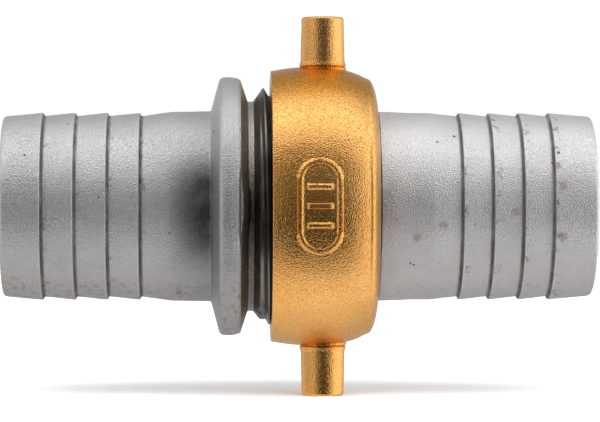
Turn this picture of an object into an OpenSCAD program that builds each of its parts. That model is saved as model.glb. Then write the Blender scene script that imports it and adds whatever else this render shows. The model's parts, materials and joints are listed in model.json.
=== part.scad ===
// Pin-lug swivel coupling for a 38 mm (1-1/2 in) hose, with both barbed hose shanks.
// The flow axis is X, and X = 0 is the sealing plane where the threaded shank meets the washer.
// The threaded (male) shank lies at -X, the tail (female) shank at +X. The nut's lugs point to +Z and -Z.

/* [Bore and barbs] */
// Radius of the flow bore through both shanks
bore_r = 17; // [15:0.5:17.5]
// Radius at the crest of each barb
barb_crest_r = 19.95; // [19.6:0.05:20.2]
// Radius at the root of each barb
barb_root_r = 19.25; // [18.8:0.05:19.4]
// Number of barbs on each shank
barb_count = 4; // [2:1:4]
// Rounding of the outer edge at each hose end
end_round = 1.1; // [0.4:0.1:1.5]

/* [Threaded shank] */
// Distance from the sealing plane to the hose end of the threaded shank
male_len = 69.4; // [66:0.2:80]
// Distance from the hose end to the first barb's step
male_first_step = 8.5; // [6:0.1:9]
// Distance from one barb's step to the next
male_barb_pitch = 6.9; // [5:0.1:7]
// Radius of the plain seat between the barbs and the collar
male_seat_r = 20.25; // [20:0.05:20.4]
// Length of that seat
male_seat_len = 8.4; // [6:0.1:9]
// Radius of the neck behind the thread
neck_r = 22.35; // [21.5:0.05:23]

/* [Collar] */
// Outer radius of the round collar that stops the hose
collar_r = 27.5; // [27:0.1:28.5]
// Distance from the sealing plane to the collar's thread side
collar_x = 17.6; // [17.4:0.1:19]
// Length of the slope on the thread side
collar_front = 1.7; // [1:0.1:2]
// Length of the collar's rim
collar_rim = 4.2; // [3:0.1:5]
// Length of the slope on the hose side
collar_back = 1.9; // [1:0.1:2.5]

/* [Screw thread] */
// Axial distance from one thread crest to the next (nine threads to the inch)
pitch = 2.822; // [2.6:0.001:3]
// Outer radius of the male thread
thread_r = 25.2; // [25:0.05:25.3]
// Depth of the male thread
thread_depth = 1.75; // [1.5:0.05:1.8]
// Half the width of the thread's flat crest
crest_half = 0.18; // [0.1:0.01:0.2]
// Radial room between the two threads
thread_room = 0.35; // [0.3:0.05:0.4]
// Axial room between the flanks of the two threads
flank_room = 0.15; // [0.1:0.01:0.2]
// Distance from the sealing plane to the first full crest at the top of the shank
crest_x = 14.4; // [14.2:0.1:14.6]

/* [Swivel nut] */
// Distance from the sealing plane to the nut's open face
nut_face_x = 12.7; // [12:0.1:13]
// Distance from the sealing plane to the nut's back face
nut_back_x = 9.9; // [9.5:0.1:12]
// Largest outer radius of the nut
nut_crown_r = 29.7; // [29:0.1:31]
// Distance from the sealing plane to the crown
nut_crown_x = 4.3; // [3:0.1:5]
// Radius of the hole in the nut's back wall
nut_hole_r = 20.6; // [20.5:0.05:21]
// Thickness of the nut's back wall
nut_wall = 3.5; // [3:0.1:4]

/* [Lugs and pad] */
// Radius of each pin lug
lug_r = 4.6; // [4:0.1:5]
// Height of the lug tips from the flow axis
lug_tip = 40.3; // [38:0.1:42]
// Distance from the sealing plane to the lugs' centre line
lug_x = 1.6; // [1:0.1:4]
// Width of the raised pad on the nut's front
pad_w = 9.2; // [7:0.2:10]
// Height of the raised pad
pad_h = 19.8; // [16:0.2:22]
// How far the pad's rim stands out
pad_rise = 0.5; // [0.3:0.1:0.8]

/* [Washer and tail] */
// Thickness of the washer
washer_t = 3.2; // [3:0.1:3.4]
// Outer radius of the washer
washer_r = 24.9; // [24:0.1:25.2]
// Inner radius of the washer
washer_hole_r = 18.4; // [18:0.1:19]
// Radius of the tail shank's flange
flange_r = 23; // [22:0.1:23.4]
// Distance from the sealing plane to the hose end of the tail shank
female_len = 55.5; // [53:0.1:70]
// Distance from the tail's hose end to the first barb's step
female_first_step = 9.2; // [6:0.1:10]
// Distance from one barb's step to the next on the tail shank
female_barb_pitch = 6.37; // [5:0.01:6.5]
// Radius of the tail shank where the nut turns on it
journal_r = 20.15; // [19.9:0.05:20.2]
// Radius of the plain hose seat on the tail shank
female_seat_r = 19.95; // [19.8:0.05:20]

/* [Hidden] */
$fn = 96;
CUT = 1;                                  // how far a cutting solid runs past the metal
THREAD_STEPS = 40;                        // segments in one turn of thread
PROFILE_STEPS = 12;                       // segments in the nut's crowned outline
flank = tan(30);                          // half width gained per unit of depth on a 60 degree thread
embed = 0.15;                             // how deep a thread's root is sunk into its wall
fade = 90;                                // angle over which a thread rises at its ends
edge_break = 0.5;                         // small bevel on turned edges
barb_step = 0.15;                         // axial length of a barb's steep face
collar_round = 0.8;                       // rounding of the collar's rim edges
thread_root_r = thread_r - thread_depth;
relief_x = -crest_x - 2;                  // where the neck ends and the cone behind the thread starts
relief_slope = (thread_r - neck_r) / 2;   // rise of that cone
thread_bevel = 1.2;                       // length of the bevel at the tip of the male thread
helix_x = -crest_x - pitch / 2;           // place of the male thread at zero turn
male_root_half = crest_half + (thread_depth + embed) * flank;
nut_bore_r = thread_r + thread_room;      // inside the nut, between its threads
nut_tip_r = thread_root_r + thread_room;  // inside the nut, at the crests of its thread
nut_tip_half = pitch / 2 - crest_half - (thread_r - nut_tip_r) * flank - flank_room;
nut_root_half = nut_tip_half + (nut_bore_r + embed - nut_tip_r) * flank;
mouth_bevel = 0.65;                       // bevel at the nut's open end
nut_face_r = nut_crown_r - 0.9;           // outer radius at the nut's open face
shoulder_x = nut_back_x - 2.3;            // where the nut's rounded shoulder starts
shoulder_r = nut_crown_r - 2.4;           // outer radius there
flange_back_x = nut_back_x - nut_wall;    // where the nut's back wall bears on the flange
journal_end_x = nut_back_x + 3.5;         // where the tail shank steps down to its hose seat
seat_fall = 6.3;                          // length of the tail's slope from its seat to the barbs
lug_flare_r = 5.6;                        // radius of the lugs where they meet the nut
lug_flare_z = nut_crown_r - 0.4;          // height at which that flare starts
lug_foot_z = nut_bore_r + 1;              // foot of the lugs, inside the nut's wall
lug_round = 0.6;                          // rounding of the lug tips
rim_w = 1;                                // width of the pad's rim
bar_gap = 4;                              // spacing of the bars on the pad

// Points of a round corner about (cx, cy), from angle a0 to a1
function arc(cx, cy, r, a0, a1, steps = 6) =
    [for (i = [0:steps]) let (a = a0 + (a1 - a0) * i / steps) [cx + r * cos(a), cy + r * sin(a)]];

// Outline [radius, distance from the hose end] of a shank's rounded end and its barbs
function barbs(first, step) = concat(
    arc(barb_root_r - end_round, end_round, end_round, -90, 0),
    [for (i = [0:barb_count - 1], top = [1, 0])
        [top == 1 ? barb_crest_r : barb_root_r, first + i * step + (1 - top) * barb_step]]);

// Moves outline points along the axis, and mirrors them when dir is -1
function place(points, x, dir = 1) = [for (p = points) [p[0], x + dir * p[1]]];

// Radius limit of the male thread, set by the cone behind it and the bevel at its tip
function thread_limit(x) =
    min(thread_r, neck_r - embed + (x - relief_x) * relief_slope, thread_r - thread_bevel - x);

// How far a thread has risen at angle a, between its ends at a0 and a1
function rise(a, a0, a1) = max(0, min(1, (a - a0) / fade, (a1 - a) / fade));

// A thread as one closed helical sweep along Z. root and tip are its radii, root_half and tip_half
// its half widths there, x0 its place at zero turn, and a0 and a1 its first and last angles.
module helix(root, tip, root_half, tip_half, x0, a0, a1, limited = false) {
    side = tip > root ? 1 : -1;
    hidden_tip = root + side * embed * 0.5;
    section = concat(
        [for (t = [0, 0.4, 0.7, 1]) [-side * (root_half + (tip_half - root_half) * t), t]],
        [for (t = [1, 0.7, 0.4, 0]) [side * (root_half + (tip_half - root_half) * t), t]]);
    n = len(section);
    rings = ceil((a1 - a0) / 360 * THREAD_STEPS);
    points = [for (i = [0:rings], s = section)
        let (
            a = a0 + (a1 - a0) * i / rings,
            x = x0 + pitch * a / 360 + s[0],
            top = hidden_tip + (tip - hidden_tip) * rise(a, a0, a1),
            full = root + (top - root) * s[1],
            r = limited ? min(full, thread_limit(x) - embed * (1 - s[1])) : full
        )
        [r * cos(a), r * sin(a), x]];
    sides = [for (i = [0:rings - 1], j = [0:n - 1])
        let (p = i * n + j, q = i * n + (j + 1) % n)
        each [[p, q, q + n], [p, q + n, p + n]]];
    first = [for (j = [1:n - 2]) [0, j + 1, j]];
    last = [for (j = [1:n - 2]) [rings * n, rings * n + j, rings * n + j + 1]];
    polyhedron(points, concat(sides, first, last));
}

// Turns a shape drawn along +Z so that it lies along +X
module along_x() {
    rotate([0, 90, 0]) children();
}

// The flow bore, cut from one axial position to another
module flow_bore(from, to) {
    translate([0, 0, from - CUT]) cylinder(r = bore_r, h = to - from + 2 * CUT);
}

// Outline [radius, x] of the round collar, with a slope on each side and rounded rim edges
function collar() = let (
        front_x = -collar_x - collar_front,
        back_x = front_x - collar_rim,
        front_angle = atan2(collar_r - neck_r, collar_front),
        back_angle = atan2(collar_r - male_seat_r, collar_back),
        mid_r = collar_r - collar_round
    ) concat(
        [[male_seat_r, back_x - collar_back]],
        arc(mid_r, back_x + collar_round * tan(back_angle / 2), collar_round, -back_angle, 0),
        arc(mid_r, front_x - collar_round * tan(front_angle / 2), collar_round, 0, front_angle),
        [[neck_r, -collar_x]]);

module male_shank() {
    foot_x = -collar_x - collar_front - collar_rim - collar_back;
    outline = concat(
        [[0, -male_len]],
        place(barbs(male_first_step, male_barb_pitch), -male_len),
        [[male_seat_r, foot_x - male_seat_len]],
        collar(),
        [[neck_r, relief_x], [thread_root_r, relief_x + (thread_root_r - neck_r) / relief_slope]],
        [[thread_root_r, -edge_break], [thread_root_r - edge_break, 0], [0, 0]]);
    first_turn = -60;
    last_turn = (-edge_break - male_root_half - helix_x) / pitch * 360;
    color("silver") along_x() difference() {
        union() {
            rotate_extrude() polygon(outline);
            helix(thread_root_r - embed, thread_r, male_root_half, crest_half,
                helix_x, first_turn, last_turn, limited = true);
        }
        flow_bore(-male_len, 0);
    }
}

module gasket() {
    color("dimgray") along_x() difference() {
        cylinder(r = washer_r, h = washer_t);
        translate([0, 0, -CUT]) cylinder(r = washer_hole_r, h = washer_t + 2 * CUT);
    }
}

// Outer outline of the nut as [radius, x], raised by the given amount
function nut_outline(raised = 0) = let (
        front = nut_face_x - nut_crown_x,
        back = shoulder_x + nut_crown_x
    ) concat(
        [for (i = [-PROFILE_STEPS:-1]) let (t = -i / PROFILE_STEPS)
            [nut_crown_r + raised - (nut_crown_r - nut_face_r) * pow(t, 2), -nut_crown_x - front * t]],
        [for (i = [0:PROFILE_STEPS - 1]) let (t = i / PROFILE_STEPS)
            [nut_crown_r + raised - (nut_crown_r - shoulder_r) * pow(t, 2.8), -nut_crown_x + back * t]],
        [for (i = [0:PROFILE_STEPS]) let (a = 90 * i / PROFILE_STEPS)
            [nut_hole_r + (shoulder_r + raised - nut_hole_r) * cos(a),
                shoulder_x + (nut_back_x - shoulder_x) * sin(a)]]);

module lug() {
    outline = concat(
        [[0, lug_foot_z], [lug_flare_r, lug_foot_z]],
        arc(lug_flare_r + 0.2, lug_flare_z + 1.2, 1.2, -90, -180),
        arc(lug_r - lug_round, lug_tip - lug_round, lug_round, 0, 90),
        [[0, lug_tip]]);
    translate([-lug_x, 0, 0]) rotate_extrude() polygon(outline);
}

// A round-ended slot of width w and overall height h
module slot(w, h) {
    square([w, h - w], center = true);
    for (end = [-1, 1]) translate([0, end * (h - w) / 2]) circle(r = w / 2);
}

// Raised pad on the nut's front: a round-ended rim with plain bars inside it
module pad() {
    intersection() {
        along_x() rotate_extrude() polygon(concat([[nut_bore_r + 1, -nut_face_x]],
            nut_outline(pad_rise), [[nut_bore_r + 1, shoulder_x]]));
        translate([-lug_x - 1.4, 0, 0]) rotate([90, 0, 0]) linear_extrude(nut_crown_r + 2) {
            difference() {
                slot(pad_w, pad_h);
                slot(pad_w - 2 * rim_w, pad_h - 2 * rim_w);
            }
            for (i = [-1:1]) translate([0, i * bar_gap]) square([pad_w - 4, rim_w], center = true);
        }
    }
}

module swivel_nut() {
    first_turn = (-nut_face_x + mouth_bevel + nut_root_half + embed - helix_x - pitch / 2) / pitch * 360;
    last_turn = (-edge_break - nut_root_half - helix_x - pitch / 2) / pitch * 360;
    color("goldenrod") {
        difference() {
            union() {
                along_x() rotate_extrude() polygon(concat([[0, -nut_face_x]], nut_outline(),
                    [[0, nut_back_x]]));
                lug();
                mirror([0, 0, 1]) lug();
            }
            along_x() {
                translate([0, 0, -nut_face_x - CUT])
                    cylinder(r = nut_bore_r, h = nut_face_x + CUT + flange_back_x);
                translate([0, 0, -nut_face_x - CUT])
                    cylinder(r1 = nut_bore_r + mouth_bevel + CUT, r2 = nut_bore_r, h = mouth_bevel + CUT);
                cylinder(r = nut_hole_r, h = nut_back_x + CUT);
            }
        }
        pad();
        along_x() helix(nut_bore_r + embed, nut_tip_r, nut_root_half, nut_tip_half,
            helix_x + pitch / 2, first_turn, last_turn);
    }
}

module female_shank() {
    outline = concat(
        [[0, washer_t], [flange_r, washer_t], [flange_r, flange_back_x], [journal_r, flange_back_x]],
        [[journal_r, journal_end_x], [female_seat_r, journal_end_x + edge_break]],
        [[female_seat_r, female_len - female_first_step - (barb_count - 1) * female_barb_pitch
            - seat_fall]],
        [for (i = [len(barbs(0, 0)) - 1:-1:0])
            place(barbs(female_first_step, female_barb_pitch), female_len, -1)[i]],
        [[0, female_len]]);
    color("silver") along_x() difference() {
        rotate_extrude() polygon(outline);
        flow_bore(washer_t, female_len);
    }
}

male_shank();
gasket();
swivel_nut();
female_shank();
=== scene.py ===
"""Looks of a pin-lug swivel hose coupling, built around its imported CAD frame.

The flow axis is X. The threaded shank lies at -X, the brass nut in the middle and the tail shank at +X.
Shapes are drawn in millimetres, as the CAD source is, and to_object() turns them into metres.
"""

import bpy
import bmesh
import json
import math
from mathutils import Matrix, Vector, noise


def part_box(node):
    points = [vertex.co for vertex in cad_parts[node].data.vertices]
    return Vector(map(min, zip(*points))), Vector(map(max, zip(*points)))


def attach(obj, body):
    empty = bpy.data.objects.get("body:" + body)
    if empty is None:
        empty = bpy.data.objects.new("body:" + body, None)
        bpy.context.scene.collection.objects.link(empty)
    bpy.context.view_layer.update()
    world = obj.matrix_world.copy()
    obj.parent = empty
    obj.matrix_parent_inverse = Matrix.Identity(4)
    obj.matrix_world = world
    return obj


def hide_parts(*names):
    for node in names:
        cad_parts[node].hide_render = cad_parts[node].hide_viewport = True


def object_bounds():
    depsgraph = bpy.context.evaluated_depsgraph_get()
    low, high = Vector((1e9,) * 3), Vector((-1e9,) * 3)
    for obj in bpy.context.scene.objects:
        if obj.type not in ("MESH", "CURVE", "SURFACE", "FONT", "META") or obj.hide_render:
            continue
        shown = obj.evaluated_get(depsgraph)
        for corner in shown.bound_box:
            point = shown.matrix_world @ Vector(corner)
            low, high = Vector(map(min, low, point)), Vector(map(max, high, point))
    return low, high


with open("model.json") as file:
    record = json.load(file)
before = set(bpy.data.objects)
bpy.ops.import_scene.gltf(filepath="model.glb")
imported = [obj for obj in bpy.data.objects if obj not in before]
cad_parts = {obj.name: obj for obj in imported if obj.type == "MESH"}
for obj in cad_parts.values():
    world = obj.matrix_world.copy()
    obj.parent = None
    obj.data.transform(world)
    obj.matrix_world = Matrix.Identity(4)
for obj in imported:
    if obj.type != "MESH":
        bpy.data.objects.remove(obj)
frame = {"record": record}
cad_low, cad_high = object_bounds()

MM = 0.001
TAU = 2 * math.pi
SIDES = 256              # steps round the flow axis in every turned shape
SHARP_DEGREES = 40       # an edge that turns more than this stays sharp

# Places along the flow axis, in millimetres, from the frame
MALE_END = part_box("male_shank")[0][0] / MM
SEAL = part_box("male_shank")[1][0] / MM
WASHER_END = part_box("gasket")[1][0] / MM
TAIL_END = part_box("female_shank")[1][0] / MM
NUT_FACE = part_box("swivel_nut")[0][0] / MM
NUT_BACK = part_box("swivel_nut")[1][0] / MM
LUG_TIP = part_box("swivel_nut")[1][2] / MM
MOUNTS = {m["name"]: m for m in frame["record"]["mounts"]}
BORE_R = MOUNTS["male_bore"]["dims"]["r_mm"]
MALE_SEAT_R = MOUNTS["male_hose_seat"]["dims"]["r_mm"]
MALE_SEAT_LENGTH = MOUNTS["male_hose_seat"]["dims"]["length_mm"]
TAIL_SEAT_R = MOUNTS["tail_hose_seat"]["dims"]["r_mm"]
LUG_R = MOUNTS["upper_lug"]["dims"]["r_mm"]
LUG_X = MOUNTS["upper_lug"]["pos_m"][0] / MM

# The screw thread
PITCH = 2.822
THREAD_R = 25.2
THREAD_DEPTH = 1.75
THREAD_ROOM = 0.35
FLANK_ROOM = 0.15
CREST_HALF = 0.18
FLANK = math.tan(math.radians(30))
ROOT_R = THREAD_R - THREAD_DEPTH
FIRST_CREST = -14.4      # place of the first crest at the top of the shank
RUN_OUT = 0.75           # how much shallower the thread is where it runs out
RUN_OUT_X = -12.6        # place where it starts to run out
TIP_R = ROOT_R - 0.5     # radius at the shank's end, where the thread is bevelled
TIP_SLOPE = 1.6
CHIP_X = -14.9           # place and depth of a chip on the underside, in the turn beside the collar
CHIP_DEPTH = 0.9
NECK_R = 22.35


# ---------------------------------------------------------------- outlines

def rounded(corners, steps=5):
    """An outline of (x, r) from corners of (x, r, rounding radius), each corner turned into a curve."""
    out = []
    last = len(corners) - 1
    for i, (x, r, radius) in enumerate(corners):
        here = Vector((x, r))
        if i in (0, last) or radius == 0:
            out.append((x, r))
            continue
        back = Vector(corners[i - 1][:2]) - here
        ahead = Vector(corners[i + 1][:2]) - here
        half = back.angle(ahead) / 2
        cut = min(radius / math.tan(half), 0.48 * back.length, 0.48 * ahead.length)
        start = here + back.normalized() * cut
        end = here + ahead.normalized() * cut
        for k in range(steps + 1):
            t = k / steps
            p = start * (1 - t) ** 2 + here * 2 * t * (1 - t) + end * t ** 2
            out.append((p.x, p.y))
    return out


def spaced(outline, step):
    """The outline with no stretch longer than step."""
    out = [outline[0]]
    for (x0, r0), (x1, r1) in zip(outline, outline[1:]):
        n = max(1, math.ceil(math.dist((x0, r0), (x1, r1)) / step))
        for i in range(1, n + 1):
            t = i / n
            out.append((x0 + (x1 - x0) * t, r0 + (r1 - r0) * t))
    return out


def smooth(t):
    """0 to 1 with soft ends, for t from 0 to 1."""
    t = max(0.0, min(1.0, t))
    return t * t * (3 - 2 * t)


# ---------------------------------------------------------------- meshes

class Turned:
    """Points and faces of a closed turned shape, added stretch by stretch along its outline."""

    def __init__(self, angles):
        self.angles = angles
        self.verts = []
        self.faces = []

    def add_row(self, polar):
        """Adds one ring of (x, r, angle), and gives the number of its first point."""
        start = len(self.verts)
        self.verts += [(x, r * math.cos(a), r * math.sin(a)) for x, r, a in polar]
        return start

    def join(self, low, high, slot, wrap=True):
        n = len(self.angles)
        for j in range(n):
            k = (j + 1) % n if wrap else j + 1
            self.faces.append(((low + j, low + k, high + k, high + j), slot))

    def stretch(self, outline, slot=0, shape=None):
        """Turns an outline of (x, r) about the flow axis. shape(x, r, a) may move each point."""
        rows = []
        for x, r in outline:
            ring = [(*(shape(x, r, a) if shape else (x, r)), a) for a in self.angles]
            rows.append(self.add_row(ring))
        for low, high in zip(rows, rows[1:]):
            self.join(low, high, slot)

    def thread(self, profile, offset, low_x, high_x, slot=0, wear=None):
        """A helical stretch whose rows follow the thread. profile(v, x) is the radius at v, from 0 to 1
        across one pitch, with the crest at 0.5. Past low_x and high_x the rows close up on a ring.
        wear(x, r, a) may lower each point."""
        root = CREST_HALF / PITCH + THREAD_DEPTH * FLANK / PITCH
        crest = CREST_HALF / PITCH
        marks = [-0.5, -root - 0.03, -root, -root + 0.03, -0.32, -0.22, -0.14, -crest - 0.02, -crest]
        marks += [0] + [-m for m in marks[:0:-1]]
        n = len(self.angles)
        first = math.floor((low_x - offset) / PITCH) - 1
        last = math.ceil((high_x - offset) / PITCH) + 1
        first -= math.ceil(self.angles[0] / TAU)
        rows = []
        for turn in range(first, last):
            for mark in marks:
                v = mark + 0.5
                ring = []
                for a in (*self.angles, self.angles[0] + TAU):
                    x = offset + PITCH * (turn + v + a / TAU)
                    x = max(low_x, min(high_x, x))
                    r = profile(v, x)
                    if wear and low_x < x < high_x:
                        r = wear(x, r, a % TAU)
                    ring.append((x, r, a))
                rows.append(self.add_row(ring))
        for low, high in zip(rows, rows[1:]):
            self.join(low, high, slot, wrap=False)


def add_object(name, data):
    """A new object that holds this data, in the scene."""
    obj = bpy.data.objects.new(name, data)
    bpy.context.scene.collection.objects.link(obj)
    return obj


def to_object(name, turned, merge=2e-3):
    """A new object from a turned shape: welded, closed, in metres, with its sharp edges marked."""
    mesh = bpy.data.meshes.new(name)
    bm = bmesh.new()
    made = [bm.verts.new(v) for v in turned.verts]
    for corners, slot in turned.faces:
        face = bm.faces.new([made[i] for i in corners])
        face.material_index = slot
    bmesh.ops.remove_doubles(bm, verts=bm.verts, dist=merge)
    bmesh.ops.dissolve_degenerate(bm, edges=bm.edges, dist=merge)
    bmesh.ops.recalc_face_normals(bm, faces=bm.faces)
    finish_mesh(bm, mesh)
    return add_object(name, mesh)


def finish_mesh(bm, mesh, scale=MM):
    """Marks sharp edges by their angle, scales the points and writes the mesh."""
    limit = math.radians(SHARP_DEGREES)
    for edge in bm.edges:
        edge.smooth = len(edge.link_faces) == 2 and edge.calc_face_angle(0) < limit
    for face in bm.faces:
        face.smooth = True
    bmesh.ops.scale(bm, vec=(scale, scale, scale), verts=bm.verts)
    bm.to_mesh(mesh)
    bm.free()


def even_angles(count=SIDES):
    return [TAU * i / count for i in range(count)]


def wavy(depth, size, seed):
    """A cast surface's slow unevenness: a function that lowers a radius by about depth at most."""
    shift = Vector((seed * 7.3, seed * 3.1, seed * 5.7))

    def lower(x, r, a):
        at = Vector((x, r * math.cos(a), r * math.sin(a))) / size + shift
        return r - depth * (0.5 + 0.5 * noise.fractal(at, 1.0, 2.0, 2))
    return lower


# ---------------------------------------------------------------- shanks

BARBS = 4
BARB_CREST_R = 19.95
BARB_ROOT_R = 19.25
STEP_RUN = 0.34          # axial length of a barb's steep face
END_ROUND = 1.3
WASH = 0.07              # depth of the cast surface's waves
WASH_SIZE = 6            # and their size
BORE_BEVEL = 0.45        # bevel at the mouth of each bore

MALE_FIRST_STEP = 8.4
MALE_BARB_PITCH = 6.85
TAIL_FIRST_STEP = 9.05
TAIL_BARB_PITCH = 6.37

COLLAR_FACE = -17.6      # the collar's thread side
COLLAR_FRONT = 1.7
COLLAR_RIM = 4.2
COLLAR_BACK = 1.9
COLLAR_R = 27.5
COLLAR_ROUND = 1.3
LUMP = 0.6               # how far a casting lump at the front pushes out the collar's slope


def barb_corners(end, direction, first, step):
    """Corners of a shank's hose end and barbs, from its bore outwards. direction is +1 if the
    barbs run towards +X from the hose end."""
    corners = [
        (end, BORE_R + BORE_BEVEL, 0),
        (end, BARB_ROOT_R - 0.1, END_ROUND),
    ]
    for i in range(BARBS):
        at = end + direction * (first + i * step)
        corners.append((at, BARB_CREST_R, 0.4))
        corners.append((at + direction * STEP_RUN, BARB_ROOT_R, 0.15))
    return corners


def off_mouth(r):
    """0 at a shank's mouth, where the cast skin has to meet the bore, and 1 a little way out."""
    return smooth(r - BORE_R - 0.5)


def build_male_shank():
    cast, machined, inside = 0, 1, 2
    shape = Turned(even_angles())
    wave = wavy(WASH, WASH_SIZE, 1)
    relief_x = FIRST_CREST - 2
    relief_slope = (THREAD_R - NECK_R) / 2
    front = COLLAR_FACE - COLLAR_FRONT
    back = front - COLLAR_RIM
    foot = back - COLLAR_BACK

    bore = [(SEAL, BORE_R), (MALE_END + BORE_BEVEL, BORE_R), (MALE_END, BORE_R + BORE_BEVEL)]
    shape.stretch(spaced(bore, 2.0), inside)

    corners = barb_corners(MALE_END, 1, MALE_FIRST_STEP, MALE_BARB_PITCH)
    corners += [
        (foot - MALE_SEAT_LENGTH, MALE_SEAT_R - 0.12, 3),
        (foot, MALE_SEAT_R + 0.04, 0.5),
        (back, COLLAR_R - 0.1, COLLAR_ROUND),
        (back + COLLAR_RIM / 2, COLLAR_R + 0.05, 3),
        (front, COLLAR_R - 0.25, COLLAR_ROUND),
        (COLLAR_FACE, NECK_R, 0.3),
        (relief_x, NECK_R, 0),
    ]
    slope = (COLLAR_R - NECK_R) / COLLAR_FRONT

    def cast_skin(x, r, a):
        if x > front:
            push = LUMP * math.exp(-((a - math.pi) * COLLAR_R / 5) ** 2)
            r = max(r, min(COLLAR_R, NECK_R + (COLLAR_FACE + push - x) * slope))
        fade = smooth((relief_x - x) / 0.6) * off_mouth(r)
        return x, r + (wave(x, r, a) - r) * fade
    shape.stretch(spaced(rounded(corners), 0.4), cast, cast_skin)

    def thread_profile(v, x):
        off = abs(v - 0.5) * PITCH
        r = THREAD_R - max(0, off - CREST_HALF) / FLANK
        r = max(ROOT_R + RUN_OUT * smooth((RUN_OUT_X - x) / 2), r)
        r = min(r, NECK_R + (x - relief_x) * relief_slope)
        return min(r, TIP_R + (SEAL - x) * TIP_SLOPE)

    def chipped(x, r, a):
        near = math.exp(-((a - 1.5 * math.pi) / 0.45) ** 2) * math.exp(-((x - CHIP_X) / 0.7) ** 2)
        at = Vector((x, r * math.cos(a), r * math.sin(a))) / 0.8
        return r - CHIP_DEPTH * near * smooth(noise.fractal(at, 1.0, 2.0, 2) + 0.6)

    offset = FIRST_CREST - PITCH / 4 - PITCH / 2
    shape.thread(thread_profile, offset, relief_x, SEAL, machined, chipped)
    shape.stretch(spaced([(SEAL, TIP_R), (SEAL, BORE_R)], 1.5), machined)
    return to_object("male_shank_body", shape, merge=4e-3)


def build_female_shank():
    cast, machined, inside = 0, 1, 2
    shape = Turned(even_angles())
    wave = wavy(WASH, WASH_SIZE, 2)
    flange_r = 23
    flange_back = NUT_BACK - 3.5
    journal_r = 20.15
    journal_end = NUT_BACK + 3.5

    bore = [(WASHER_END, BORE_R), (TAIL_END - BORE_BEVEL, BORE_R), (TAIL_END, BORE_R + BORE_BEVEL)]
    shape.stretch(spaced(bore, 2.0), inside)
    corners = barb_corners(TAIL_END, -1, TAIL_FIRST_STEP, TAIL_BARB_PITCH)
    last_barb = TAIL_END - TAIL_FIRST_STEP - (BARBS - 1) * TAIL_BARB_PITCH
    corners += [
        (last_barb - 6.3, TAIL_SEAT_R, 4),
        (journal_end + 3.5, TAIL_SEAT_R, 6),
        (journal_end - 1.0, journal_r, 6),
        (NUT_BACK + 0.3, journal_r, 0),
    ]
    outer = spaced(rounded(corners), 0.45)

    def cast_skin(x, r, a):
        fade = smooth((x - NUT_BACK - 0.3) / 2) * off_mouth(r)
        return x, r + (wave(x, r, a) - r) * fade
    shape.stretch(outer, cast, cast_skin)
    shape.stretch(spaced(rounded([
        (NUT_BACK + 0.3, journal_r, 0),
        (flange_back, journal_r, 0.25),
        (flange_back, flange_r, 0.3),
        (WASHER_END, flange_r, 0.3),
        (WASHER_END, BORE_R, 0),
    ]), 1.2), machined)
    return to_object("female_shank_body", shape)


# ---------------------------------------------------------------- nut

CROWN_R = 29.7
CROWN_X = -4.3
NUT_BORE_R = THREAD_R + THREAD_ROOM
NUT_TIP_R = ROOT_R + THREAD_ROOM
NUT_HOLE_R = 20.6
NUT_WALL = 3.5
NUT_FACE_R = CROWN_R - 0.9
SHOULDER_R = CROWN_R - 2.4
SHOULDER_X = NUT_BACK - 2.3
MOUTH_BEVEL = 0.65
NUT_THREAD_END = -0.5

PAD_W = 9.2
PAD_H = 19.8
PAD_RISE = 0.42
PAD_X = LUG_X - 1.4
RIM_W = 1.0
BAR_GAP = 4.0
EDGE_RUN = 0.28          # width of the slope round the pad's rim and bars
SEAM_Z = CROWN_R - 0.02  # a fine seam round each lug's foot


def crowned(x):
    """Outer radius of the nut between its open face and its shoulder."""
    if x < CROWN_X:
        t = (CROWN_X - x) / (CROWN_X - NUT_FACE)
        return CROWN_R - (CROWN_R - NUT_FACE_R) * t ** 2
    t = (x - CROWN_X) / (SHOULDER_X - CROWN_X)
    return CROWN_R - (CROWN_R - SHOULDER_R) * t ** 2.8


def slot_distance(u, v, width, height):
    """Signed distance from a round-ended slot: negative inside."""
    half = width / 2
    v = abs(v) - (height / 2 - half)
    return math.hypot(u, max(0, v)) - half


def pad_height(x, s):
    """Height of the pad at x, and at s along the nut's girth from its front."""
    u, v = x - PAD_X, s
    outer = slot_distance(u, v, PAD_W, PAD_H)
    inner = slot_distance(u, v, PAD_W - 2 * RIM_W, PAD_H - 2 * RIM_W)
    rim = min(smooth(0.5 - outer / EDGE_RUN), smooth(0.5 + inner / EDGE_RUN))
    bars = 0
    for k in (-1, 0, 1):
        away = max(abs(v - k * BAR_GAP) - RIM_W / 2, abs(u) - (PAD_W / 2 - 2.1))
        bars = max(bars, smooth(0.5 - away / EDGE_RUN))
    return PAD_RISE * max(rim, 0.85 * bars)


def nut_angles():
    """Angles round the nut, closer together where the pad is."""
    front = math.pi
    half = (PAD_H / 2 + 0.8) / CROWN_R
    fine = 110
    coarse = 210
    out = [front - half + 2 * half * i / fine for i in range(fine)]
    out += [front + half + (TAU - 2 * half) * i / coarse for i in range(coarse)]
    return out


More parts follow.
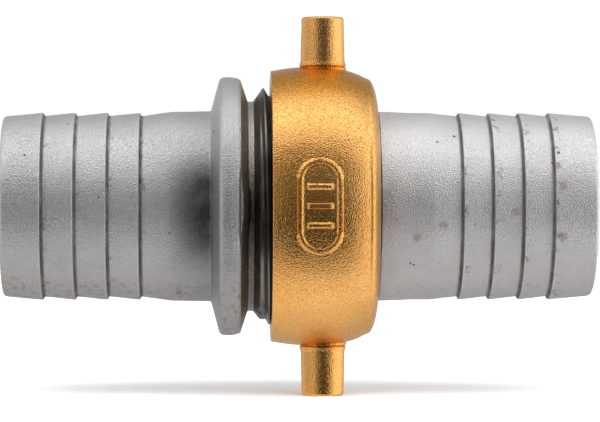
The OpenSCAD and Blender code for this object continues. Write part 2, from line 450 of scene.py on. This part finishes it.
def lug_mesh(up):
    """One pin lug, turned about its own axis, with a flared foot and a softly rounded tip."""
    foot_z = NUT_BORE_R + 0.8
    outline = rounded([
        (foot_z, 0.001, 0),
        (foot_z, LUG_R + 0.3, 0),
        (SEAM_Z - 0.22, LUG_R + 0.5, 0.1),
        (SEAM_Z, LUG_R + 0.12, 0.05),
        (SEAM_Z + 0.22, LUG_R + 0.42, 0.1),
        (SEAM_Z + 1.2, LUG_R + 0.12, 0.8),
        (LUG_TIP - 5, LUG_R + 0.02, 3),
        (LUG_TIP, LUG_R - 0.1, 0.7),
        (LUG_TIP, 0.001, 0),
    ], steps=6)
    outline = spaced(outline, 0.5)
    count = 72
    bm = bmesh.new()
    rings = []
    for z, r in outline:
        ring = []
        for j in range(count):
            a = TAU * j / count
            at = Vector((r * math.cos(a), r * math.sin(a), z * up)) / 3
            rr = r - 0.06 * (0.5 + 0.5 * noise.fractal(at, 1.0, 2.0, 2)) * min(1, r / 2)
            ring.append(bm.verts.new((LUG_X + rr * math.cos(a), rr * math.sin(a), up * z)))
        rings.append(ring)
    for low, high in zip(rings, rings[1:]):
        for j in range(count):
            k = (j + 1) % count
            bm.faces.new((low[j], low[k], high[k], high[j]))
    bmesh.ops.remove_doubles(bm, verts=bm.verts, dist=2e-3)
    bmesh.ops.recalc_face_normals(bm, faces=bm.faces)
    mesh = bpy.data.meshes.new("lug")
    finish_mesh(bm, mesh)
    return add_object("lug", mesh)


def build_nut():
    cast, machined = 0, 1
    shape = Turned(nut_angles())
    wave = wavy(0.09, 7, 3)
    samples = 70
    outer = [NUT_FACE + (SHOULDER_X - NUT_FACE) * i / samples for i in range(samples + 1)]
    outline = rounded([(NUT_FACE, NUT_FACE_R - 0.5, 0), (NUT_FACE, NUT_FACE_R, 0.35),
                       (NUT_FACE + 1.0, crowned(NUT_FACE + 1.0), 0)])
    outline += [(x, crowned(x)) for x in outer if x > NUT_FACE + 1.05]
    for i in range(1, 25):
        a = math.pi / 2 * i / 24
        outline.append((SHOULDER_X + (NUT_BACK - SHOULDER_X) * math.sin(a),
                        NUT_HOLE_R + (SHOULDER_R - NUT_HOLE_R) * math.cos(a)))

    def relief(x, r, a):
        r_out = r + (wave(x, r, a) - r) * smooth((x - NUT_FACE) / 0.8) * smooth((r - NUT_HOLE_R) / 2)
        s = (a - math.pi) * CROWN_R
        if abs(s) < PAD_H / 2 + 0.6 and abs(x - PAD_X) < PAD_W / 2 + 0.6:
            r_out += pad_height(x, s)
        return x, r_out
    shape.stretch(outline, cast, relief)
    flange_x = NUT_BACK - NUT_WALL
    inner = rounded([
        (NUT_BACK, NUT_HOLE_R, 0),
        (flange_x, NUT_HOLE_R, 0.2),
        (flange_x, NUT_BORE_R, 0.3),
        (NUT_THREAD_END, NUT_BORE_R, 0),
    ])
    shape.stretch(spaced(inner, 1.0), machined)
    mouth = NUT_FACE + MOUTH_BEVEL
    tip_half = PITCH / 2 - CREST_HALF - (THREAD_R - NUT_TIP_R) * FLANK - FLANK_ROOM

    def thread_profile(v, x):
        off = abs(v - 0.5) * PITCH
        r = NUT_TIP_R + max(0, off - tip_half) / FLANK
        lead = min(x - mouth, NUT_THREAD_END - x)
        return max(min(r, NUT_BORE_R), NUT_BORE_R - 1.3 * max(0, lead))

    offset = FIRST_CREST - PITCH / 4
    shape.thread(thread_profile, offset, mouth, NUT_THREAD_END, machined)
    shape.stretch([(mouth, NUT_BORE_R), (NUT_FACE, NUT_BORE_R + MOUTH_BEVEL),
                   (NUT_FACE, NUT_FACE_R - 0.5)], machined)
    nut = to_object("swivel_nut_body", shape, merge=4e-3)
    for up in (1, -1):
        lug = lug_mesh(up)
        union = nut.modifiers.new("lug", "BOOLEAN")
        union.operation = "UNION"
        union.solver = "EXACT"
        union.object = lug
        ready = bpy.context.evaluated_depsgraph_get()
        joined = bpy.data.meshes.new_from_object(nut.evaluated_get(ready))
        nut.modifiers.clear()
        nut.data = joined
        bpy.data.objects.remove(lug)
    bm = bmesh.new()
    bm.from_mesh(nut.data)
    finish_mesh(bm, nut.data, scale=1)
    return nut


# ---------------------------------------------------------------- washer

def build_gasket():
    shape = Turned(even_angles(160))
    hole_r = 18.4
    outer_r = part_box("gasket")[1][1] / MM
    edge = 0.35
    corners = [
        (SEAL, (hole_r + outer_r) / 2, 0),
        (SEAL, outer_r, edge),
        (WASHER_END, outer_r, edge),
        (WASHER_END, hole_r, edge),
        (SEAL, hole_r, edge),
        (SEAL, (hole_r + outer_r) / 2, 0),
    ]
    shape.stretch(spaced(rounded(corners), 0.8))
    return to_object("gasket_ring", shape)


# ---------------------------------------------------------------- materials

class Nodes:
    """A short way to build a material's node tree."""

    def __init__(self, name):
        self.material = bpy.data.materials.new(name)
        self.material.use_nodes = True
        self.tree = self.material.node_tree
        self.tree.nodes.clear()
        self.output = self.tree.nodes.new("ShaderNodeOutputMaterial")
        self.shader = self.tree.nodes.new("ShaderNodeBsdfPrincipled")
        self.link(self.shader.outputs[0], self.output.inputs["Surface"])
        coords = self.tree.nodes.new("ShaderNodeTexCoord")
        self.place = coords.outputs["Object"]

    def link(self, a, b):
        self.tree.links.new(a, b)

    def set(self, socket, value):
        if isinstance(value, bpy.types.NodeSocket):
            self.link(value, socket)
        else:
            socket.default_value = value

    def noise(self, scale, detail=3.0, roughness=0.55, stretch=(1, 1, 1)):
        """Noise with so many cells to the metre, from about 0 to 1."""
        mapping = self.tree.nodes.new("ShaderNodeMapping")
        mapping.inputs["Scale"].default_value = stretch
        self.link(self.place, mapping.inputs["Vector"])
        node = self.tree.nodes.new("ShaderNodeTexNoise")
        self.link(mapping.outputs[0], node.inputs["Vector"])
        node.inputs["Scale"].default_value = scale
        node.inputs["Detail"].default_value = detail
        node.inputs["Roughness"].default_value = roughness
        return node.outputs["Fac"]

    def cells(self, scale):
        """Distance from the nearest of scattered points, so many cells to the metre."""
        node = self.tree.nodes.new("ShaderNodeTexVoronoi")
        self.link(self.place, node.inputs["Vector"])
        node.inputs["Scale"].default_value = scale
        return node.outputs["Distance"]

    def ramp(self, fac, low, high, to_low=0.0, to_high=1.0):
        """fac mapped from low..high to to_low..to_high, smoothly and clamped."""
        node = self.tree.nodes.new("ShaderNodeMapRange")
        node.interpolation_type = "SMOOTHSTEP"
        self.set(node.inputs["Value"], fac)
        for key, value in zip(("From Min", "From Max", "To Min", "To Max"), (low, high, to_low, to_high)):
            node.inputs[key].default_value = value
        return node.outputs["Result"]

    def math(self, operation, *values):
        node = self.tree.nodes.new("ShaderNodeMath")
        node.operation = operation
        for socket, value in zip(node.inputs, values):
            self.set(socket, value)
        return node.outputs[0]

    def product(self, *values):
        """All the values multiplied together."""
        total = values[0]
        for value in values[1:]:
            total = self.math("MULTIPLY", total, value)
        return total

    def mix(self, fac, a, b):
        """Colour a where fac is 0 and b where it is 1."""
        node = self.tree.nodes.new("ShaderNodeMix")
        node.data_type = "RGBA"
        self.set(node.inputs["Factor"], fac)
        for key, value in (("A", a), ("B", b)):
            socket = next(s for s in node.inputs if s.name == key and s.type == "RGBA")
            self.set(socket, value if isinstance(value, bpy.types.NodeSocket) else (*value, 1))
        return next(s for s in node.outputs if s.type == "RGBA")

    def axis(self, letter):
        node = self.tree.nodes.new("ShaderNodeSeparateXYZ")
        self.link(self.place, node.inputs[0])
        return node.outputs[letter]

    def bump(self, height, distance, strength=1.0, after=None):
        node = self.tree.nodes.new("ShaderNodeBump")
        self.link(height, node.inputs["Height"])
        node.inputs["Distance"].default_value = distance
        node.inputs["Strength"].default_value = strength
        if after is not None:
            self.link(after, node.inputs["Normal"])
        return node.outputs[0]

    def marks(self, places, size):
        """1 at each of some small uneven marks at (x, radius, angle) in millimetres, elsewhere 0."""
        ragged = self.math("MULTIPLY", self.noise(1500, 3, 0.6), size * 1.4)
        nearest = None
        for x, r, a in places:
            node = self.tree.nodes.new("ShaderNodeVectorMath")
            node.operation = "DISTANCE"
            self.link(self.place, node.inputs[0])
            node.inputs[1].default_value = (x * MM, r * MM * math.cos(a), r * MM * math.sin(a))
            away = node.outputs["Value"]
            nearest = away if nearest is None else self.math("MINIMUM", nearest, away)
        return self.ramp(self.math("ADD", nearest, ragged), size * 1.55, size * 0.95)

    def finish(self, color, roughness, normal, metallic=1.0):
        self.set(self.shader.inputs["Base Color"], color)
        self.set(self.shader.inputs["Roughness"], roughness)
        self.shader.inputs["Metallic"].default_value = metallic
        if normal is not None:
            self.link(normal, self.shader.inputs["Normal"])
        return self.material


def front_place(x, z, r=19.9):
    """A place on a shank's front, z above the axis, as (x, radius, angle)."""
    return x, r, math.pi - math.asin(z / r)


MALE_PITS = [front_place(*at) for at in (
    (-55.5, 17.4), (-48.7, 1.9), (-41.8, 1.9), (-29.0, 1.7), (-34.0, -5.6), (-37.8, -11.2), (-60.6, -17.2))]
MALE_RUST = [front_place(*at) for at in ((-66.5, -15.5), (-59.5, -16.5), (-46.0, -16.0))]
TAIL_PITS = [front_place(*at) for at in (
    (16.2, -11.8), (16.9, -12.2), (38.2, -0.6), (42.5, -1.4), (45.5, -9.0), (50.4, -16.8), (29.4, -4.0))]
TAIL_RUST = [front_place(*at) for at in (
    (38.0, -1.2), (17.5, -6.5), (23.0, -4.0), (47.8, 4.5), (48.0, -6.5))]


def shaded(color, share):
    """A colour made darker, or lighter where share is over 1."""
    return tuple(min(1, c * share) for c in color)


def barb_marks(n, color, light, steps, pitch, facing):
    """The colour with the barbs' paler crests, partly wear and partly a painted highlight, painted shade in
    their corners and some rust beside it, and the mask of that painted shade."""
    away = n.product(n.math("SUBTRACT", n.axis("X"), steps), facing)
    place = n.math("WRAP", away, -pitch / 2, pitch / 2)
    last = (BARBS - 1) * pitch
    barbed = n.product(n.ramp(away, -0.0015, -0.0014), n.ramp(away, last + 0.0015, last + 0.0014))
    # Paler barb crests: partly wear, partly a painted highlight.
    edge = n.product(n.ramp(place, -0.00045, -0.0002), n.ramp(place, 0.00008, 0.0))
    color = n.mix(n.product(edge, barbed, 0.10), color, shaded(light, 1.5))
    uneven = n.ramp(n.noise(200, 3, 0.6), 0.3, 0.6, 0.7, 1.0)
    # Painted shade at the foot of each barb's steep face, which also makes the surface rougher there.
    corner = n.product(n.ramp(place, -0.0001, 0.00015), n.ramp(place, 0.0010, 0.00045))
    corner_shade = n.product(corner, barbed, uneven)
    color = n.mix(n.product(corner_shade, 0.75), color, (0.085, 0.072, 0.066))
    right = n.product(place, facing)
    beside = n.product(n.ramp(right, 0.0022, 0.0006), n.ramp(right, -0.0001, 0.0001))
    rusty = n.product(beside, barbed, n.ramp(n.noise(520, 4, 0.7), 0.56, 0.64))
    return n.mix(n.product(rusty, 0.55), color, (0.17, 0.105, 0.06)), corner_shade


def plated_iron(name, light, dark, stain, steps, pitch, facing, pits, rust):
    """Satin zinc plating over a fine sand-cast grain, with painted shade making it darker underneath, brown
    stains low down, paler barb crests that are partly wear and partly a painted highlight, painted shade in
    the corners of the barbs, rust marks and small dark pits. steps is the place of one step, pitch their
    spacing and facing +1 if the barbs run towards +X. pits and rust are places of marks."""
    n = Nodes(name)
    patches = n.ramp(n.noise(90, 3), 0.3, 0.7)
    color = n.mix(patches, dark, light)
    grain = n.noise(4000, 1.5, 0.5)
    color = n.mix(n.ramp(grain, 0.34, 0.50, 0.30, 0.0), color, shaded(dark, 0.55))
    z = n.axis("Z")
    # Painted shade: darker towards the bottom.
    under = n.ramp(z, -0.004, -0.014, 0.0, 0.72)
    color = n.mix(under, color, tuple(c * t for c, t in zip(dark, (0.60, 0.585, 0.57))))
    spots = n.ramp(n.noise(700, 4, 0.7), 0.50, 0.66, 0.12, 0.9)
    tan = n.product(n.ramp(z, -0.0135, -0.0185), spots, stain)
    color = n.mix(tan, color, (0.19, 0.125, 0.095))
    color, corner_shade = barb_marks(n, color, light, steps, pitch, facing)
    color = n.mix(n.product(n.marks(rust, 0.0016), 0.45), color, (0.30, 0.185, 0.13))
    color = n.mix(n.product(n.marks(pits, 0.00042), 0.9), color, (0.035, 0.026, 0.022))
    specks = n.product(n.ramp(n.cells(210), 0.10, 0.06), n.ramp(n.noise(70, 1), 0.56, 0.60))
    color = n.mix(n.product(specks, 0.85), color, (0.06, 0.04, 0.03))
    rough = n.math("ADD", n.ramp(grain, 0.3, 0.7, 0.48, 0.36), n.product(corner_shade, 0.25))
    surface = n.bump(n.noise(700, 2, 0.5), 0.00003, 0.4)
    surface = n.bump(grain, 0.00019, 1.0, surface)
    return n, color, rough, surface


def tail_iron(name, light, dark, stain, steps, pitch):
    """The tail shank's skin: a little duller, with a faint painted shade on its front beside the nut."""
    n, color, rough, surface = plated_iron(
        name, light, dark, stain, steps, pitch, -1, TAIL_PITS, TAIL_RUST)
    z = n.axis("Z")
    # Painted shade on the front of the shank beside the nut.
    near_nut = n.ramp(n.axis("X"), (NUT_BACK + 3.5) * MM, NUT_BACK * MM)
    front = n.ramp(n.axis("Y"), -0.008, -0.017)
    shade_by_nut = n.product(n.ramp(z, 0.005, 0.0017), n.ramp(z, -0.006, -0.002), front, near_nut)
    color = n.mix(n.product(shade_by_nut, 0.25), color, (0.15, 0.145, 0.14))
    return n.finish(color, n.math("ADD", rough, 0.05), surface)


def male_iron(name, light, dark, stain, steps, pitch):
    """The threaded shank's skin: its collar is a little duller, with brown on the slope towards the nut
    that is partly stain and partly painted shade, and painted shade in the neck and on the shank behind the
    collar."""
    n, color, rough, surface = plated_iron(
        name, light, dark, stain, steps, pitch, 1, MALE_PITS, MALE_RUST)
    x = n.axis("X")
    z = n.axis("Z")
    foot = (COLLAR_FACE - COLLAR_FRONT - COLLAR_RIM - COLLAR_BACK) * MM
    front = (COLLAR_FACE - COLLAR_FRONT) * MM
    on_collar = n.ramp(x, foot - 0.0002, foot + 0.0008)
    color = n.mix(n.product(on_collar, 0.26), color, shaded(dark, 0.45))
    # Brown blotches on the slope towards the nut: partly stain, partly painted shade.
    blotches = n.ramp(n.noise(420, 3, 0.6), 0.25, 0.6, 0.7, 1.0)
    slope = n.product(n.ramp(x, front - 0.0003, front + 0.0006), blotches)
    color = n.mix(n.product(slope, 0.8), color, (0.33, 0.235, 0.175))
    neck = n.ramp(x, (COLLAR_FACE - 0.25) * MM, (COLLAR_FACE + 0.2) * MM)
    # Painted shade in the neck, dark below and lighter towards the top.
    neck_shade_and_light = n.mix(n.ramp(z, -0.004, 0.012), (0.12, 0.115, 0.11), (0.40, 0.39, 0.37))
    color = n.mix(n.product(neck, 0.92), color, neck_shade_and_light)
    # Painted shade on the shank behind the collar, weaker towards the top.
    behind = n.ramp(x, foot + 0.0005, foot - 0.0003)
    high = n.ramp(z, 0.021, 0.006, 0.35, 1.0)
    wide = n.product(n.ramp(x, foot - 0.015, foot - 0.001), behind, high)
    color = n.mix(n.product(wide, 0.42), color, shaded(dark, 0.3))
    # A deeper painted shade on the front, close behind the collar, in uneven patches.
    shade = n.product(n.ramp(x, foot - 0.0105, foot - 0.001), behind)
    middle = n.product(n.ramp(z, 0.0125, 0.004), n.ramp(z, -0.016, -0.005))
    front_side = n.product(middle, n.ramp(n.axis("Y"), -0.004, -0.014))
    patchy = n.ramp(n.noise(260, 3, 0.6), 0.25, 0.6, 0.75, 1.0)
    color = n.mix(n.product(shade, front_side, patchy, 0.95), color, (0.06, 0.058, 0.058))
    rough = n.math("SUBTRACT", rough, n.product(neck, 0.2))
    return n.finish(color, rough, surface)


def machined_iron(name):
    """Turned iron: smoother and darker than the casting, with fine lines left by the tool."""
    n = Nodes(name)
    lines = n.noise(1, 2, 0.5, stretch=(5200, 60, 60))
    color = n.mix(n.ramp(n.noise(160, 3), 0.35, 0.65), (0.12, 0.115, 0.11), (0.19, 0.185, 0.175))
    stain = n.ramp(n.noise(350, 4, 0.7), 0.58, 0.68, 0, 0.5)
    color = n.mix(stain, color, (0.12, 0.085, 0.055))
    rough = n.ramp(lines, 0.3, 0.7, 0.28, 0.42)
    surface = n.bump(lines, 0.00002, 0.5)
    return n.finish(color, rough, surface)


def cast_bore(name):
    """The rough inside of a shank, dulled by scale."""
    n = Nodes(name)
    color = n.mix(n.ramp(n.noise(140, 4), 0.35, 0.65), (0.16, 0.15, 0.14), (0.30, 0.29, 0.28))
    rust = n.ramp(n.noise(300, 5, 0.7), 0.55, 0.68, 0, 0.8)
    color = n.mix(rust, color, (0.15, 0.075, 0.035))
    rough = n.ramp(n.noise(800, 3), 0.3, 0.7, 0.65, 0.5)
    surface = n.bump(n.noise(1100, 4, 0.6), 0.0001, 0.8)
    return n.finish(color, rough, surface)


def cast_brass(name):
    """Bright brass under thin lacquer, with the pebbled skin of a sand casting, redder round the feet of
    both lugs, and a painted darker, redder tone along the top of its body."""
    n = Nodes(name)
    hue = n.ramp(n.noise(60, 3), 0.35, 0.65)
    color = n.mix(hue, (0.79, 0.385, 0.095), (0.83, 0.43, 0.125))
    z = n.axis("Z")
    height = n.math("ABSOLUTE", z)
    on_body = n.ramp(height, 0.0305, 0.0297)
    # Painted tone: the top of the body darker and redder, standing in for how light falls there.
    top = n.product(n.ramp(z, 0.0215, 0.0255), on_body)
    color = n.mix(n.product(top, 0.75), color, (0.78, 0.32, 0.004))
    off_axis = n.math("SUBTRACT", n.axis("X"), LUG_X * MM)
    squares = n.math("ADD", n.math("POWER", off_axis, 2.0), n.math("POWER", n.axis("Y"), 2.0))
    from_lug = n.math("SQRT", squares)
    foot = n.product(n.ramp(from_lug, 0.0125, 0.0055), n.ramp(height, 0.0245, 0.0275), on_body)
    color = n.mix(n.product(foot, 0.6), color, (0.70, 0.25, 0.015))
    grain = n.noise(3900, 1.5, 0.5)
    color = n.mix(n.ramp(grain, 0.33, 0.48, 0.45, 0.0), color, (0.30, 0.11, 0.015))
    pits = n.product(n.ramp(n.cells(220), 0.085, 0.05), n.ramp(n.noise(60, 1), 0.58, 0.61))
    color = n.mix(pits, color, (0.03, 0.015, 0.005))
    rough = n.ramp(grain, 0.3, 0.7, 0.20, 0.12)
    surface = n.bump(n.noise(900, 2, 0.5), 0.00006, 0.6)
    surface = n.bump(grain, 0.00013, 1.0, surface)
    n.shader.inputs["Specular Tint"].default_value = (1.0, 0.82, 0.55, 1.0)
    n.shader.inputs["Coat Weight"].default_value = 0.35
    n.shader.inputs["Coat Roughness"].default_value = 0.15
    n.shader.inputs["Coat IOR"].default_value = 1.55
    n.link(surface, n.shader.inputs["Coat Normal"])
    return n.finish(color, rough, surface)


def turned_brass(name):
    """The nut's cut thread and bearing faces."""
    n = Nodes(name)
    lines = n.noise(1, 2, 0.5, stretch=(4800, 50, 50))
    color = n.mix(n.ramp(n.noise(120, 3), 0.35, 0.65), (0.62, 0.38, 0.13), (0.78, 0.50, 0.19))
    rough = n.ramp(lines, 0.3, 0.7, 0.20, 0.34)
    surface = n.bump(lines, 0.00002, 0.5)
    return n.finish(color, rough, surface)


def washer_rubber(name):
    """Matt black rubber with a faint moulded grain."""
    n = Nodes(name)
    color = n.mix(n.ramp(n.noise(400, 3), 0.35, 0.65), (0.018, 0.018, 0.018), (0.04, 0.038, 0.036))
    rough = n.ramp(n.noise(900, 3), 0.3, 0.7, 0.62, 0.8)
    surface = n.bump(n.noise(2600, 2), 0.00003, 0.6)
    return n.finish(color, rough, surface, metallic=0.0)


# ---------------------------------------------------------------- the pieces

male = build_male_shank()
tail = build_female_shank()
nut = build_nut()
washer = build_gasket()

machined = machined_iron("machined_iron")
inside = cast_bore("cast_bore")
male_steps = (MALE_END + MALE_FIRST_STEP) * MM
tail_steps = (TAIL_END - TAIL_FIRST_STEP) * MM
male_skin = male_iron("plated_iron_male", (0.665, 0.665, 0.67), (0.60, 0.60, 0.605), 0.75,
                      male_steps, MALE_BARB_PITCH * MM)
tail_skin = tail_iron("plated_iron_tail", (0.78, 0.77, 0.772), (0.72, 0.71, 0.712), 0.35,
                      tail_steps, TAIL_BARB_PITCH * MM)
for mat in (male_skin, machined, inside):
    male.data.materials.append(mat)
for mat in (tail_skin, machined, inside):
    tail.data.materials.append(mat)
for mat in (cast_brass("cast_brass"), turned_brass("turned_brass")):
    nut.data.materials.append(mat)
washer.data.materials.append(washer_rubber("washer_rubber"))

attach(male, "male_half")
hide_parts("male_shank")
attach(tail, "female_half")
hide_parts("female_shank")
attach(nut, "nut")
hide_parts("swivel_nut")
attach(washer, "washer")
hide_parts("gasket")


# ---------------------------------------------------------------- studio

FLOOR_Z = cad_low[2]
FLOOR_REACH = 1.6        # to each side
FLOOR_NEAR = -1.4
FLOOR_FAR = 2.2

AROUND_LEVEL = 0.66      # even light that the floor and dull surfaces get from all round
SEEN_LEVEL = 1.02        # the white that the camera sees behind the object

# What metal reflects, by the angle round the flow axis in degrees: 0 is level with the axis on the
# camera's side, 90 is straight up and -90 straight down.
LEVELS_ROUND = [
    (-180, 0.6), (-135, 0.62), (-110, 0.95), (-68, 1.3), (-57, 1.5), (-52, 0.30), (-46, 0.03),
    (-15, 0.06), (0, 0.12), (20, 0.18), (40, 0.17), (53, 0.29), (66, 0.90), (80, 3.35), (90, 2.2),
    (102, 0.65), (116, 0.46), (135, 0.40), (160, 0.5), (180, 0.6)]
BRIGHTEST = max(level for angle, level in LEVELS_ROUND)
# And towards the ends of the axis: place from -X to +X as 0 to 1, level, and how far it takes over
LEVELS_ALONG = [(0.0, 0.55, 1.0), (0.12, 1.1, 1.0), (0.26, 1.1, 0.0), (0.80, 1.6, 0.0), (0.93, 1.6, 1.0)]

CAMERA_AT = Vector((-0.025, -0.70, -0.001))
CAMERA_AIM = Vector((-0.0064, 0, -0.001))
CAMERA_LENS = 197


def floor_piece(name):
    mesh = bpy.data.meshes.new(name)
    corners = [(-FLOOR_REACH, FLOOR_NEAR, FLOOR_Z), (FLOOR_REACH, FLOOR_NEAR, FLOOR_Z),
               (FLOOR_REACH, FLOOR_FAR, FLOOR_Z), (-FLOOR_REACH, FLOOR_FAR, FLOOR_Z)]
    mesh.from_pydata(corners, [], [(0, 1, 2, 3)])
    obj = add_object(name, mesh)
    return obj


def floor_material():
    n = Nodes("pale_floor")
    n.shader.inputs["Specular IOR Level"].default_value = 0.0
    color = n.mix(n.noise(9, 2), (0.93, 0.93, 0.93), (0.95, 0.95, 0.95))
    return n.finish(color, 0.9, None, metallic=0.0)


def fill_ramp(node, interpolation, stops):
    """Gives a colour ramp its stops, each a (place, level, alpha)."""
    node.color_ramp.interpolation = interpolation
    elements = node.color_ramp.elements
    while len(elements) < len(stops):
        elements.new(0.5)
    for element, (place, level, alpha) in zip(elements, stops):
        element.position = place
        element.color = (*[level / BRIGHTEST] * 3, alpha)


def light_round(tree, split):
    """The reflected level by the angle round the flow axis."""
    flip = tree.nodes.new("ShaderNodeMath")
    flip.operation = "MULTIPLY"
    flip.inputs[1].default_value = -1
    tree.links.new(split.outputs["Y"], flip.inputs[0])
    turn = tree.nodes.new("ShaderNodeMath")
    turn.operation = "ARCTAN2"
    tree.links.new(split.outputs["Z"], turn.inputs[0])
    tree.links.new(flip.outputs[0], turn.inputs[1])
    place = tree.nodes.new("ShaderNodeMapRange")
    place.inputs["From Min"].default_value = -math.pi
    place.inputs["From Max"].default_value = math.pi
    tree.links.new(turn.outputs[0], place.inputs["Value"])
    ramp = tree.nodes.new("ShaderNodeValToRGB")
    fill_ramp(ramp, "B_SPLINE", [((angle + 180) / 360, level, 1) for angle, level in LEVELS_ROUND])
    tree.links.new(place.outputs[0], ramp.inputs[0])
    return ramp.outputs[0]


def light_along(tree, split):
    """The reflected level towards the ends of the flow axis, and how far it takes over."""
    along = tree.nodes.new("ShaderNodeMapRange")
    along.inputs["From Min"].default_value = -1
    tree.links.new(split.outputs["X"], along.inputs["Value"])
    ramp = tree.nodes.new("ShaderNodeValToRGB")
    fill_ramp(ramp, "EASE", LEVELS_ALONG)
    tree.links.new(along.outputs[0], ramp.inputs[0])
    return ramp.outputs["Color"], ramp.outputs["Alpha"]


def studio_world():
    """White behind the object for the camera, even light for the floor and dull surfaces, and for
    reflections a surround that is bright above and dim on the camera's side."""
    world = bpy.data.worlds.new("studio")
    bpy.context.scene.world = world
    world.use_nodes = True
    tree = world.node_tree
    tree.nodes.clear()
    coords = tree.nodes.new("ShaderNodeTexCoord")
    split = tree.nodes.new("ShaderNodeSeparateXYZ")
    tree.links.new(coords.outputs["Generated"], split.inputs[0])
    side_color, side_share = light_along(tree, split)
    mix = tree.nodes.new("ShaderNodeMix")
    mix.data_type = "RGBA"
    tree.links.new(side_share, mix.inputs["Factor"])
    colors = [socket for socket in mix.inputs if socket.type == "RGBA"]
    tree.links.new(light_round(tree, split), colors[0])
    tree.links.new(side_color, colors[1])
    light = tree.nodes.new("ShaderNodeBackground")
    light.inputs["Strength"].default_value = BRIGHTEST
    mixed = next(socket for socket in mix.outputs if socket.type == "RGBA")
    tree.links.new(mixed, light.inputs["Color"])
    path = tree.nodes.new("ShaderNodeLightPath")
    shader = light.outputs[0]
    for ray, level in (("Is Diffuse Ray", AROUND_LEVEL), ("Is Camera Ray", SEEN_LEVEL)):
        plain = tree.nodes.new("ShaderNodeBackground")
        plain.inputs["Color"].default_value = (1, 1, 1, 1)
        plain.inputs["Strength"].default_value = level
        both = tree.nodes.new("ShaderNodeMixShader")
        tree.links.new(path.outputs[ray], both.inputs[0])
        tree.links.new(shader, both.inputs[1])
        tree.links.new(plain.outputs[0], both.inputs[2])
        shader = both.outputs[0]
    out = tree.nodes.new("ShaderNodeOutputWorld")
    tree.links.new(shader, out.inputs["Surface"])


def soft_sun(name, toward, strength, angle):
    """A wide, even light for the floor and dull surfaces, which metal doesn't reflect."""
    data = bpy.data.lights.new(name, "SUN")
    data.energy = strength
    data.angle = math.radians(angle)
    obj = add_object(name, data)
    obj.rotation_euler = (-Vector(toward)).to_track_quat("-Z", "Y").to_euler()
    obj.visible_glossy = False


def add_camera():
    data = bpy.data.cameras.new("camera")
    data.lens = CAMERA_LENS
    data.sensor_width = 36
    data.clip_start = 0.01
    data.clip_end = 20
    obj = add_object("camera", data)
    obj.location = CAMERA_AT
    obj.rotation_euler = (CAMERA_AIM - CAMERA_AT).to_track_quat("-Z", "Y").to_euler()
    bpy.context.scene.camera = obj


floor = floor_piece("floor")
floor.visible_glossy = False
floor.data.materials.append(floor_material())
studio_world()
soft_sun("front_soft_light", (0.03, -0.94, 0.33), 7.0, 95)
add_camera()
bpy.context.scene.view_settings.view_transform = "Standard"
bpy.context.scene.view_settings.look = "None"
